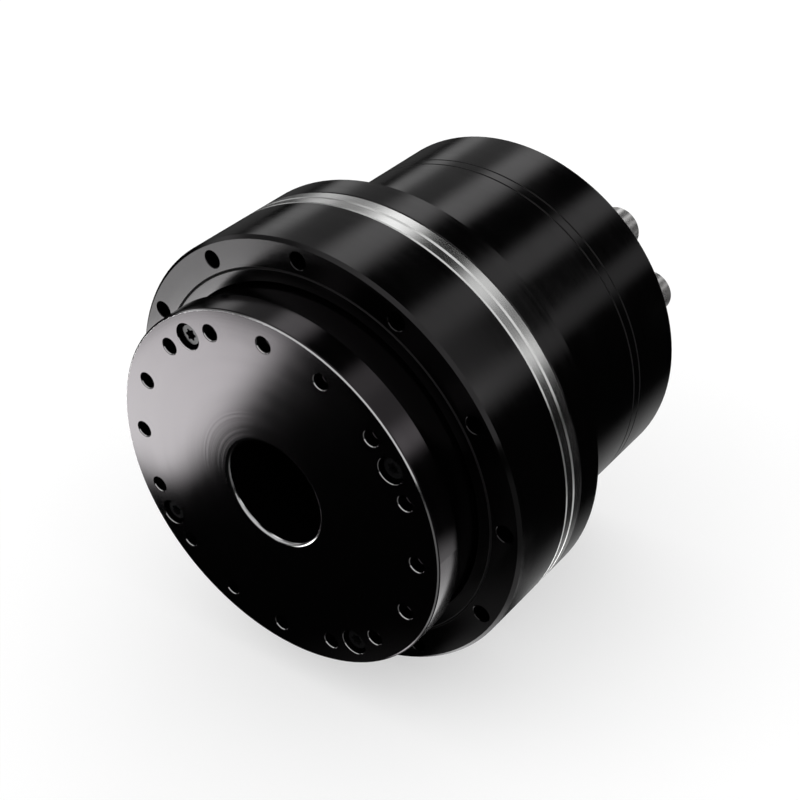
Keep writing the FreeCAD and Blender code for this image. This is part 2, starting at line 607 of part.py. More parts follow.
# ---- rotor --------------------------------------------------------------------------------
def wave_generator():
    def race(r_in, r_out, inset):
        y0, y1 = Y_WAVE + inset, Y_WAVE_END - inset
        return oval(r_out, WAVE, y0, y1).cut(oval(r_in, WAVE, y0, y1))

    plug = oval(PLUG_R - SEAT_FIT, WAVE, Y_WAVE, Y_WAVE_END)
    plug = plug.cut(drill(SHAFT_R + SEAT_FIT, Y_WAVE, Y_WAVE_END, 0))
    circlip = ring(SHAFT_R - CIRCLIP + SEAT_FIT, SHAFT_R + 2 * CIRCLIP, Y_WAVE - CIRCLIP, Y_WAVE)
    circlip = circlip.cut(block(CIRCLIP_GAP, 8 * CIRCLIP, SHAFT_R, Y_WAVE - 2 * CIRCLIP, Y_WAVE))
    return {
        "wave_generator_plug": plug,
        "wave_bearing_inner_race": race(PLUG_R, BALL_IN_R, RACE_INSET),
        "wave_bearing_ball_ring": race(BALL_IN_R + SEAT_FIT, BALL_OUT_R - SEAT_FIT, BALL_INSET),
        "wave_bearing_outer_race": race(BALL_OUT_R, RACE_OUT_R, RACE_INSET),
        "wave_generator_circlip": circlip,
    }


def rotor():
    y_shaft_end = Y_MOTOR_DISC + ENCODER_DISC + SMALL_GAP
    y_shoulder = Y_WAVE_END + SHOULDER
    shoulder_r = STEP_R + 2 * SHOULDER_STEP
    groove_r = SHAFT_R - CIRCLIP
    shaft = turned(
        (SHAFT_IR, Y_WAVE - 3 * CIRCLIP, -EDGE_BREAK), (SHAFT_R, Y_WAVE - 3 * CIRCLIP, -EDGE_BREAK),
        (SHAFT_R, Y_WAVE - CIRCLIP), (groove_r, Y_WAVE - CIRCLIP), (groove_r, Y_WAVE), (SHAFT_R, Y_WAVE),
        (SHAFT_R, Y_WAVE_END), (shoulder_r, Y_WAVE_END), (shoulder_r, y_shoulder), (STEP_R, y_shoulder),
        (STEP_R, Y_FRONT_BEARING), (SHAFT_R, Y_FRONT_BEARING), (SHAFT_R, y_shaft_end),
        (SHAFT_IR, y_shaft_end))

    hub_r = SHAFT_R + SEAT_FIT
    middle = (Y_STATOR + Y_STATOR_END) / 2
    web0, web1 = middle - ROTOR_WEB / 2, middle + ROTOR_WEB / 2
    core_ir = ROTOR_R - ROTOR_YOKE
    core = turned(
        (hub_r, web0), (core_ir, web0), (core_ir, Y_STATOR), (ROTOR_R, Y_STATOR), (ROTOR_R, Y_STATOR_END),
        (core_ir, Y_STATOR_END), (core_ir, web1), (hub_r, web1))
    magnet = sector(ROTOR_R + SEAT_FIT, MAGNET_R, Y_STATOR, Y_STATOR_END, 360.0 / POLES * MAGNET_SHARE)
    magnets = Part.makeCompound(around(magnet, POLES))

    front_inner = bearing_rings(Y_FRONT_BEARING, Y_FRONT_BEARING + MOTOR_BEARING_WIDTH)[0]
    rear_inner = bearing_rings(Y_REAR_BEARING, Y_REAR)[0]

    hex_r = DISC_HUB_R / math.cos(math.pi / 6)
    corners = [at(60 * i, hex_r, Y_LINING) for i in range(7)]
    hexagon = Part.Face(Part.makePolygon(corners))
    hub = hexagon.extrude(ALONG * LINING).cut(drill(hub_r, Y_LINING, Y_LINING + LINING, 0))
    hole = hexagon.copy()
    hole.scale((DISC_HUB_R + RUN_FIT) / DISC_HUB_R, at(0, 0, Y_LINING))
    lining = ring(SHAFT_R, LINING_R, Y_LINING, Y_LINING + LINING).cut(hole.extrude(ALONG * LINING))

    disc = ring(hub_r, SHAFT_R + ENCODER_RIM, Y_MOTOR_DISC, Y_MOTOR_DISC + ENCODER_DISC)
    return {
        "motor_shaft": shaft,
        "front_bearing_inner": front_inner,
        "rear_bearing_inner": rear_inner,
        "rotor_core": core,
        "rotor_magnets": magnets,
        "brake_hub": hub,
        "brake_friction_disc": lining,
        "motor_encoder_disc": disc,
    }


# ---- motor housing and stator -------------------------------------------------------------
def motor_housing():
    wall_end = Y_FLANGE + FRONT_WALL
    boss_end = Y_FRONT_BEARING + MOTOR_BEARING_WIDTH
    ledge_r = TUBE_IR - STATOR_LEDGE
    inside = INSIDE_ROUND
    housing = turned(
        (LIP_R, Y_FLANGE), (BODY_R, Y_FLANGE, -SEAM_CHAMFER), (BODY_R, Y_STEP, -REAR_CHAMFER),
        (TUBE_R, Y_STEP, STEP_ROUND),
        (TUBE_R, Y_PLATE, -SEAM_CHAMFER), (TUBE_IR, Y_PLATE), (TUBE_IR, Y_STATOR), (ledge_r, Y_STATOR),
        (ledge_r, wall_end, inside), (BEARING_BOSS_R, wall_end, inside), (BEARING_BOSS_R, boss_end),
        (BEARING_SEAT_R, boss_end), (BEARING_SEAT_R, Y_FRONT_BEARING), (LIP_R, Y_FRONT_BEARING))
    bolt = drill(HOUSING_HOLE_R, Y_FLANGE, Y_STEP, HOUSING_CIRCLE_R)
    head_sunk = Y_STEP - SMALL_GAP
    well = counterbore(M4, Y_STEP, head_sunk - M4[2], Y_FLANGE, HOUSING_CIRCLE_R, True)
    held = THREAD * 2 * M3[0]
    tapped = drill(M3[0], Y_PLATE - held - THREAD_END, Y_PLATE, REAR_SCREW_R)
    cuts = around(bolt, HOUSING_HOLES) + around(well, HOUSING_HOLES, 180.0 / HOUSING_HOLES)
    housing = housing.cut(cuts + around(tapped, REAR_SCREWS))

    front_outer = bearing_rings(Y_FRONT_BEARING, boss_end)[1]
    seal_end = Y_FRONT_BEARING - SEAT_FIT
    seal = turned(
        (STEP_R + RUN_FIT, Y_FLANGE - SHAFT_SEAL + SEAL_WALL), (LIP_R - SEAT_FIT, Y_FLANGE - SHAFT_SEAL),
        (LIP_R - SEAT_FIT, seal_end), (STEP_R + SEAL_WALL, seal_end))
    return {"motor_housing": housing, "front_bearing_outer": front_outer, "shaft_seal": seal}


def stator():
    yoke_ir = TUBE_IR - YOKE
    core_r = TUBE_IR - SEAT_FIT
    tip_angle = math.degrees(TIP_WIDTH / STATOR_IR)
    neck_r = STATOR_IR + (TOOTH_LENGTH + TOOTH_TIP) / 2
    neck = block(STATOR_TOOTH, TOOTH_LENGTH, neck_r, Y_STATOR, Y_STATOR_END)
    tip = sector(STATOR_IR, STATOR_IR + TOOTH_TIP, Y_STATOR, Y_STATOR_END, tip_angle)
    tooth = neck.fuse(tip)
    core = ring(yoke_ir, core_r, Y_STATOR, Y_STATOR_END)
    core = core.fuse(around(tooth, STATOR_SLOTS)).removeSplitter()

    r0, r1 = STATOR_IR + TOOTH_TIP + SMALL_GAP, yoke_ir - 2 * SMALL_GAP
    depth, middle = r1 - r0, (r0 + r1) / 2
    across = STATOR_TOOTH + 2 * COIL_THICK
    coil = block(across, depth, middle, Y_STATOR - COIL_OVERHANG, Y_STATOR_END + COIL_OVERHANG)
    upright = [e for e in coil.Edges if abs(e.tangentAt(e.FirstParameter).z) > 0.9]
    coil = coil.makeFillet(COIL_THICK, upright)
    window = block(STATOR_TOOTH + 4 * SEAT_FIT, 2 * depth, middle,
                   Y_STATOR - SEAT_FIT, Y_STATOR_END + SEAT_FIT)
    coil = coil.cut(window)
    return {"stator_core": core, "stator_windings": Part.makeCompound(around(coil, STATOR_SLOTS))}


# ---- holding brake ------------------------------------------------------------------------
def brake():
    body_ir = BEARING_BOSS_R + SMALL_GAP
    coil_r = (body_ir + POST_CIRCLE_R - POST_R) / 2
    coil_in, coil_out = coil_r - COIL_WIDTH / 2, coil_r + COIL_WIDTH / 2
    coil_end = Y_MAGNET + COIL_DEPTH
    body = ring(body_ir, BRAKE_R, Y_MAGNET, Y_PLATE).cut(ring(coil_in, coil_out, Y_MAGNET, coil_end))
    coil = ring(coil_in + SEAT_FIT, coil_out - SEAT_FIT, Y_MAGNET + SMALL_GAP, coil_end)

    post_hole = drill(POST_R + SMALL_GAP, Y_ARMATURE, Y_ARMATURE + ARMATURE, POST_CIRCLE_R)
    armature = ring(body_ir, BRAKE_R, Y_ARMATURE, Y_ARMATURE + ARMATURE).cut(around(post_hole, BRAKE_POSTS))
    reaction = ring(body_ir, BRAKE_R, Y_REACTION, Y_LINING - DRAG_GAP)
    post = drill(POST_R, Y_LINING - DRAG_GAP, Y_MAGNET, POST_CIRCLE_R)
    return {
        "brake_magnet_body": body,
        "brake_coil": coil,
        "brake_armature_plate": armature,
        "brake_reaction_plate": reaction,
        "brake_spacer_posts": Part.makeCompound(around(post, BRAKE_POSTS)),
    }


# ---- bearing plate and rear housing -------------------------------------------------------
def rear_end():
    spigot_r = TUBE_IR - SEAT_FIT
    lip_y = Y_REAR_BEARING - BEARING_LIP
    spigot_y = Y_PLATE - SPIGOT[0]
    spigot_ir = spigot_r - SPIGOT[1]
    plate = turned(
        (LIP_R, lip_y), (BEARING_BOSS_R, lip_y), (BEARING_BOSS_R, Y_PLATE), (spigot_ir, Y_PLATE),
        (spigot_ir, spigot_y), (spigot_r, spigot_y), (spigot_r, Y_PLATE), (TUBE_R, Y_PLATE, -SEAM_CHAMFER),
        (TUBE_R, Y_REAR, -SEAM_CHAMFER), (BEARING_SEAT_R, Y_REAR), (BEARING_SEAT_R, Y_REAR_BEARING),
        (LIP_R, Y_REAR_BEARING))
    screw_hole = drill(M3[0] + SHANK_CLEARANCE, Y_PLATE, Y_REAR, REAR_SCREW_R)
    plate = plate.cut(around(screw_hole, REAR_SCREWS))
    rear_outer = bearing_rings(Y_REAR_BEARING, Y_REAR)[1]

    opening = BORE_TUBE_R + TURN_GAP
    housing = turned(
        (TUBE_IR, Y_REAR), (TUBE_R, Y_REAR, -SEAM_CHAMFER), (TUBE_R, Y_END, -REAR_CHAMFER),
        (opening, Y_END, -REAR_CHAMFER), (opening, Y_INSIDE), (TUBE_IR, Y_INSIDE, INSIDE_ROUND))
    y_head = Y_END - SMALL_GAP
    well = counterbore(M3, Y_END, y_head - M3[2], Y_REAR, REAR_SCREW_R, True)
    neck = drill(CONNECTOR_NECK_R + SEAT_FIT, Y_INSIDE - CONNECTOR_NECK, Y_END, CONNECTOR_CIRCLE_R)
    cuts = around(well, REAR_SCREWS) + [turn(neck, kind[1]) for kind in CONNECTORS]
    housing = housing.cut(cuts)
    screw = cap_screw(M3, y_head, y_head - M3[2] - Y_PLATE + THREAD * 2 * M3[0], REAR_SCREW_R, True)
    return {
        "bearing_plate": plate,
        "rear_bearing_outer": rear_outer,
        "rear_housing": housing,
        "rear_screws": Part.makeCompound(around(screw, REAR_SCREWS)),
    }


# ---- electronics --------------------------------------------------------------------------
def electronics():
    hole = BORE_TUBE_R + TURN_GAP
    board = ring(hole, BOARD_R, Y_BOARD, Y_BOARD_END)
    post_r = BOARD_R - STANDOFF_EDGE
    stud = drill(M3[0] + SHANK_CLEARANCE, Y_BOARD, Y_BOARD_END, post_r)
    board = board.cut(around(stud, BOARD_SCREWS, STANDOFF_TURN))
    standoff = drill(STANDOFF_R, Y_REAR, Y_BOARD, post_r)
    screw = cap_screw(M3, Y_BOARD_END + M3[2], BOARD_THICK, post_r, True)

    def chip(across, radial, height, r, angle, front=False):
        y0 = Y_BOARD - height if front else Y_BOARD_END
        return turn(block(across, radial, r, y0, y0 + height), angle)

    def can(r, height, circle_r, angle):
        return turn(drill(r, Y_BOARD_END, Y_BOARD_END + height, circle_r), angle)

    across, radial, height, edge, first, pitch, count = TRANSISTORS
    parts = [chip(across, radial, height, BOARD_R - edge, first + pitch * i) for i in range(count)]
    r, height, edge, first, pitch, count = CAPACITORS
    parts += [can(r, height, BOARD_R - edge, first + pitch * i) for i in range(count)]
    for across, radial, height, edge, angle in CHIPS:
        parts.append(chip(across, radial, height, BOARD_R - edge, angle))
    motor_reader = chip(*READER, READER_THICK, SHAFT_R + ENCODER_RIM * READER_PLACE, 0, True)
    output_reader = chip(*READER, READER_THICK, BORE_TUBE_R + ENCODER_RIM * READER_PLACE, 0)
    rim_r = BORE_TUBE_R + ENCODER_RIM
    disc = ring(BORE_TUBE_R + SEAT_FIT, rim_r, Y_OUTPUT_DISC, Y_OUTPUT_DISC + ENCODER_DISC)
    return {
        "drive_board": board,
        "board_standoffs": Part.makeCompound(around(standoff, BOARD_SCREWS, STANDOFF_TURN)),
        "board_screws": Part.makeCompound(around(screw, BOARD_SCREWS, STANDOFF_TURN)),
        "board_components": Part.makeCompound(parts),
        "encoder_readers": Part.makeCompound([motor_reader, output_reader]),
        "output_encoder_disc": disc,
    }


def connector(contacts, contact_r, ring_r):
    """Shell, insulating insert and contacts of one connector at angle 0."""
    r = CONNECTOR_CIRCLE_R
    y_tip = Y_END + CONNECTOR_STAND
    centre = at(0, r, 0)
    shell = Part.makeCylinder(CONNECTOR_R, CONNECTOR_STAND, at(0, r, Y_END), ALONG)
    rim = [e for e in shell.Edges if e.BoundBox.YMin > y_tip - CONNECTOR_CHAMFER]
    shell = shell.makeChamfer(CONNECTOR_CHAMFER, rim)
    shell = shell.fuse(drill(CONNECTOR_NECK_R, Y_INSIDE - CONNECTOR_NECK, Y_END, r)).removeSplitter()
    well_r = CONNECTOR_R - CONNECTOR_WALL
    well_y = Y_END + CONNECTOR_WALL
    shell = shell.cut(drill(well_r, well_y, y_tip, r))
    insert_end = y_tip - INSERT_SUNK
    insert = drill(well_r - SEAT_FIT, well_y, insert_end, r)
    places = [centre + at(360.0 * i / contacts, ring_r, 0) for i in range(contacts)]
    floor = ALONG * (insert_end - SOCKET_DEPTH)
    sockets = [Part.makeCylinder(contact_r + SOCKET_GAP, SOCKET_DEPTH, p + floor, ALONG) for p in places]
    pins = [Part.makeCylinder(contact_r, PIN_LENGTH, p + floor, ALONG) for p in places]
    return shell, insert.cut(sockets), pins


def connectors():
    pieces = {}
    for name, angle, contacts, contact_r, ring_r in CONNECTORS:
        shell, insert, pins = connector(contacts, contact_r, ring_r)
        pieces[name + "_shell"] = turn(shell, angle)
        pieces[name + "_insert"] = turn(insert, angle)
        pieces[name + "_contacts"] = Part.makeCompound([turn(pin, angle) for pin in pins])
    return pieces


os.makedirs("parts", exist_ok=True)
sections = (
    output_side, roller_set, front_housing, flexspline, wave_generator, rotor, motor_housing, stator,
    brake, rear_end, electronics, connectors)
total = 0
for section in sections:
    for name, shape in section().items():
        if not shape.isValid():
            print("not valid:", name)
        shape.exportStep("parts/" + name + ".step")
        total += 1
        print("%-28s %2d solids  %10.1f mm3" % (name, len(shape.Solids), shape.Volume))
print(total, "nodes")
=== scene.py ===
import math

import bpy
import numpy as np
from mathutils import Matrix, Vector


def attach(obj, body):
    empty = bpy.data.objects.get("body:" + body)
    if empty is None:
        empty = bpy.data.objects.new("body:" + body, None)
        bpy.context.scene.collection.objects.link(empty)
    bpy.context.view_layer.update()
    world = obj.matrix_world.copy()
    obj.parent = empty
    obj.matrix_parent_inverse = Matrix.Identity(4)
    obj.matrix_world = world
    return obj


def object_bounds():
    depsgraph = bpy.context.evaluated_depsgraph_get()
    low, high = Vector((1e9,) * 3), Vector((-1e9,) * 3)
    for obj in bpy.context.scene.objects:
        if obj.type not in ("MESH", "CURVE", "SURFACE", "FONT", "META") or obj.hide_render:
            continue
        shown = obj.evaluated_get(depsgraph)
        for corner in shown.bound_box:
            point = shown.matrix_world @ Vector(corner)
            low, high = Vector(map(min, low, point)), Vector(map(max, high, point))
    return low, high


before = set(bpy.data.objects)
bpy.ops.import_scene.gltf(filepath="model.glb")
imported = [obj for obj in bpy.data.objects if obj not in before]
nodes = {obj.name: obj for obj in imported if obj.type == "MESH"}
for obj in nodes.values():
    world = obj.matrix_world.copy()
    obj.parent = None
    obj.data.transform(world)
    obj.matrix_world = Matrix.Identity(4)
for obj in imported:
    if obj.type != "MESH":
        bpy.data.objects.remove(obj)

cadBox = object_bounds()
mmPerMetre = 1000.0
print("frame loaded:", len(nodes), "nodes")

# The camera's place: azimuth 0 looks along +Y, and the roll turns it counterclockwise about its
# own axis. Angles in degrees, places in metres.
cameraView = {
    "azimuth": 39.208,
    "elevation": 33.733,
    "roll": -3.906,
    "distance": 0.48248,
    "aim": (0.0, 0.060134, -0.002117),
    "lens": 69.773,
    "sensor": 36.0,
    "nearest": 0.01,
    "farthest": 50.0,
}


def placeCamera(view):
    azimuth, elevation = math.radians(view["azimuth"]), math.radians(view["elevation"])
    back = Vector((math.sin(azimuth) * math.cos(elevation),
                   -math.cos(azimuth) * math.cos(elevation), math.sin(elevation)))
    right = Vector((math.cos(azimuth), math.sin(azimuth), 0.0))
    right = Matrix.Rotation(math.radians(view["roll"]), 3, back) @ right
    up = back.cross(right)
    data = bpy.data.cameras.new("mainCamera")
    data.lens, data.sensor_width = view["lens"], view["sensor"]
    data.clip_start, data.clip_end = view["nearest"], view["farthest"]
    camera = bpy.data.objects.new("mainCamera", data)
    turn = Matrix((right, up, back)).transposed().to_4x4()
    camera.matrix_world = Matrix.Translation(Vector(view["aim"]) + back * view["distance"]) @ turn
    bpy.context.scene.collection.objects.link(camera)
    bpy.context.scene.camera = camera


placeCamera(cameraView)
print("camera placed")


# Short ways to make shader nodes. A value may be a socket, which is linked, or a plain setting.
def newNode(tree, kind, **settings):
    node = tree.nodes.new("ShaderNode" + kind)
    for name, value in settings.items():
        setattr(node, name, value)
    return node


def feed(tree, socket, value):
    if isinstance(value, bpy.types.NodeSocket):
        tree.links.new(value, socket)
    else:
        socket.default_value = value


def calc(tree, operation, *values):
    node = newNode(tree, "Math", operation=operation)
    for socket, value in zip(node.inputs, values):
        feed(tree, socket, value)
    return node.outputs[0]


def smooth(tree, value, start, end):
    # 0 at start and 1 at end, with a soft step between them.
    node = newNode(tree, "MapRange", interpolation_type="SMOOTHSTEP")
    for name, setting in (("Value", value), ("From Min", start), ("From Max", end)):
        feed(tree, node.inputs[name], setting)
    return node.outputs["Result"]


def nearTo(tree, value, middle, reach):
    # 1 where value is less than reach away from middle, and 0 elsewhere.
    off = calc(tree, "ABSOLUTE", calc(tree, "SUBTRACT", value, middle))
    return calc(tree, "LESS_THAN", off, reach)


def joinXyz(tree, x, y, z):
    node = newNode(tree, "CombineXYZ")
    for socket, value in zip(node.inputs, (x, y, z)):
        feed(tree, socket, value)
    return node.outputs[0]


def noise(tree, vector, scale, detail=2.0, roughness=0.5):
    node = newNode(tree, "TexNoise", noise_dimensions="3D")
    feed(tree, node.inputs["Vector"], vector)
    for name, value in (("Scale", scale), ("Detail", detail), ("Roughness", roughness)):
        feed(tree, node.inputs[name], value)
    return node.outputs["Fac"]


def mixColours(tree, factor, first, second):
    # Of a Mix node's sockets, 6 and 7 are the two colours and output 2 is the mixed colour.
    node = newNode(tree, "Mix", data_type="RGBA")
    feed(tree, node.inputs["Factor"], factor)
    feed(tree, node.inputs[6], first)
    feed(tree, node.inputs[7], second)
    return node.outputs[2]


def newGroup(name, inputs, outputs):
    group = bpy.data.node_groups.new(name, "ShaderNodeTree")
    for label, default in inputs.items():
        socket = group.interface.new_socket(name=label, in_out="INPUT",
                                            socket_type="NodeSocketFloat")
        socket.default_value = default
    for label in outputs:
        group.interface.new_socket(name=label, in_out="OUTPUT", socket_type="NodeSocketFloat")
    return group, group.nodes.new("NodeGroupInput"), group.nodes.new("NodeGroupOutput")


def placeGroup(tree, group, values):
    node = newNode(tree, "Group")
    node.node_tree = group
    for label, value in values.items():
        node.inputs[label].default_value = value
    return node


def objectPoint(tree):
    # Object coordinates in millimetres, and the distance from the joint axis.
    coords = newNode(tree, "TexCoord").outputs["Object"]
    scaled = newNode(tree, "VectorMath", operation="SCALE")
    tree.links.new(coords, scaled.inputs[0])
    scaled.inputs["Scale"].default_value = mmPerMetre
    parts = newNode(tree, "SeparateXYZ")
    tree.links.new(scaled.outputs[0], parts.inputs[0])
    x, y, z = parts.outputs
    squares = calc(tree, "ADD", calc(tree, "MULTIPLY", x, x), calc(tree, "MULTIPLY", z, z))
    return {"point": scaled.outputs[0], "x": x, "y": y, "z": z,
            "radius": calc(tree, "SQRT", squares)}


# The patterns that the finishes share.
patterns = {
    "driftPerMm": 0.03,          # how fast the turning marks wander round a ring
    "broadShare": 0.17,          # broad rings for each fine one
    "broadShift": 3.0,           # keeps the broad rings apart from the fine ones in the noise
    "smearRange": (0.35, 0.7),   # noise at which a smear starts, and at which it is full
    "speckleShare": 0.2,         # specks for each grain
}


# Turned metal: grooves that run round the joint axis, with their depth uneven from ring to ring.
def makeTurningMarks(settings):
    group, given, result = newGroup(
        "turningMarks", {"Marks per mm": 4.0, "Unevenness": 0.4}, ("Height", "Rings"))
    place = objectPoint(group)
    density = given.outputs["Marks per mm"]
    across = calc(group, "MULTIPLY", place["radius"], density)
    along = calc(group, "MULTIPLY", place["y"], density)
    wander = noise(group, place["point"], settings["driftPerMm"], detail=1.0)
    drift = calc(group, "MULTIPLY", wander, given.outputs["Unevenness"])
    ring = joinXyz(group, calc(group, "ADD", across, drift), along, 0.0)
    broad = settings["broadShare"]
    broadRing = joinXyz(group, calc(group, "MULTIPLY", across, broad),
                        calc(group, "MULTIPLY", along, broad), settings["broadShift"])
    fine = noise(group, ring, 1.0, detail=3.0, roughness=0.7)
    group.links.new(fine, result.inputs["Height"])
    group.links.new(noise(group, broadRing, 1.0), result.inputs["Rings"])
    return group


# Small differences of gloss that handling and cleaning leave on any metal part.
def makeHandling(settings):
    group, given, result = newGroup("handlingMarks", {"Size mm": 12.0}, ("Smear",))
    scale = calc(group, "DIVIDE", 1.0, given.outputs["Size mm"])
    cloud = noise(group, objectPoint(group)["point"], scale, detail=4.0, roughness=0.6)
    group.links.new(smooth(group, cloud, *settings["smearRange"]), result.inputs["Smear"])
    return group


# Fine even grain, for blasted, moulded and plated surfaces.
def makeGrain(settings):
    group, given, result = newGroup("fineGrain", {"Grain mm": 0.25}, ("Height", "Speckle"))
    point = objectPoint(group)["point"]
    scale = calc(group, "DIVIDE", 1.0, given.outputs["Grain mm"])
    grain = noise(group, point, scale, detail=3.0, roughness=0.6)
    speckle = noise(group, point, calc(group, "MULTIPLY", scale, settings["speckleShare"]))
    group.links.new(grain, result.inputs["Height"])
    group.links.new(speckle, result.inputs["Speckle"])
    return group


turningMarks = makeTurningMarks(patterns)
handlingMarks = makeHandling(patterns)
fineGrain = makeGrain(patterns)
print("patterns ready")


# Edges cut after the black finish went on: 1 on the chamfers of the disc, its bore and its holes.
def bareEdges(tree, finish):
    place = objectPoint(tree)
    y, radius = place["y"], place["radius"]
    found = 0.0
    for rim, width in finish["rims"]:
        inFront = calc(tree, "LESS_THAN", y, width)
        edge = calc(tree, "MULTIPLY", nearTo(tree, radius, rim, width), inFront)
        found = calc(tree, "MAXIMUM", found, edge)
    turn = calc(tree, "ARCTAN2", place["x"], place["z"])
    for count, first, circle, hole, depth, width in finish["holes"]:
        # The angle from the nearest hole, and the distance from its centre by the law of cosines.
        halfPitch = math.pi / count
        turned = calc(tree, "SUBTRACT", turn, math.radians(first))
        cosine = calc(tree, "COSINE", calc(tree, "WRAP", turned, halfPitch, -halfPitch))
        reach = calc(tree, "MULTIPLY", radius, cosine)
        reach = calc(tree, "MULTIPLY_ADD", reach, -2.0 * circle, circle ** 2)
        away = calc(tree, "SQRT", calc(tree, "MULTIPLY_ADD", radius, radius, reach))
        inFront = calc(tree, "LESS_THAN", y, depth)
        edge = calc(tree, "MULTIPLY", calc(tree, "LESS_THAN", away, hole + width), inFront)
        found = calc(tree, "MAXIMUM", found, edge)
    return found


# What every finish has in common.
finishBase = {
    "smearSize": 14.0,       # mm
    "ringRough": 0.1,        # roughness from the rings or the speckle
    "seamRough": 0.5,        # roughness added in a seam
    "ior": 1.5,
}


# A finish is one Principled shader: two colours mixed by a mask, roughness that varies between two
# values, and a bump from grooves or grain. Settings that are the same all over stay on its sockets.
def makeFinish(name, finish, base):
    material = bpy.data.materials.new(name)
    material.use_nodes = True
    tree = material.node_tree
    shader = tree.nodes["Principled BSDF"]
    shader.inputs["Metallic"].default_value = finish.get("metallic", 0.0)
    shader.inputs["IOR"].default_value = finish.get("ior", base["ior"])
    shader.inputs["Specular Tint"].default_value = (*finish.get("tint", (1.0, 1.0, 1.0)), 1.0)

    if "marks" in finish:
        pattern = placeGroup(tree, turningMarks, {"Marks per mm": finish["marks"]})
        mask = pattern.outputs["Rings"]
    else:
        pattern = placeGroup(tree, fineGrain, {"Grain mm": finish["grain"]})
        mask = pattern.outputs["Speckle"]
    height = pattern.outputs["Height"]

    colour = mixColours(tree, mask, (*finish["colour"], 1.0), (*finish["second"], 1.0))
    if "bare" in finish:
        edges = bareEdges(tree, finish)
        colour = mixColours(tree, edges, colour, (*finish["bare"], 1.0))
        tree.links.new(edges, shader.inputs["Metallic"])
    tree.links.new(colour, shader.inputs["Base Color"])

    smear = placeGroup(tree, handlingMarks, {"Size mm": base["smearSize"]}).outputs["Smear"]
    low, high = finish["rough"]
    rough = calc(tree, "MULTIPLY_ADD", smear, high - low, low)
    # The mask runs about a middle of 0.5, so it makes the finish both duller and brighter.
    rough = calc(tree, "MULTIPLY_ADD", calc(tree, "SUBTRACT", mask, 0.5), base["ringRough"], rough)
    if "seams" in finish:
        place = objectPoint(tree)
        seams = [(place["y"], *seam) for seam in finish["seams"]]
        seams += [(place["radius"], *seam) for seam in finish["ringSeams"]]
        for value, middle, half in seams:
            near = nearTo(tree, value, middle, half)
            rough = calc(tree, "MULTIPLY_ADD", near, base["seamRough"], rough)
    tree.links.new(rough, shader.inputs["Roughness"])

    if "centre" in finish:
        # Marks that grow deeper towards the axis.
        outer, inner, deeper = finish["centre"]
        near = smooth(tree, objectPoint(tree)["radius"], outer, inner)
        height = calc(tree, "MULTIPLY", height, calc(tree, "MULTIPLY_ADD", near, deeper, 1.0))
    bump = newNode(tree, "Bump")
    bump.inputs["Strength"].default_value = finish["bump"]
    bump.inputs["Distance"].default_value = finish["depth"]
    tree.links.new(height, bump.inputs["Height"])
    tree.links.new(bump.outputs["Normal"], shader.inputs["Normal"])
    return material


# A surface from a grid of points: rows x columns x 3, joined to a mesh of quads.
def gridMesh(name, points, material, closed=False):
    rows, columns = points.shape[:2]
    index = np.arange(rows * columns).reshape(rows, columns)
    after = np.roll(index, -1, axis=1) if closed else index[:, 1:]
    before = index if closed else index[:, :-1]
    quads = np.stack((before[:-1], after[:-1], after[1:], before[1:]), axis=-1).reshape(-1, 4)
    mesh = bpy.data.meshes.new(name)
    mesh.from_pydata(points.reshape(-1, 3).tolist(), [], quads.tolist())
    mesh.materials.append(material)
    mesh.polygons.foreach_set("use_smooth", np.ones(len(quads), bool))
    thing = bpy.data.objects.new(name, mesh)
    bpy.context.scene.collection.objects.link(thing)
    return thing


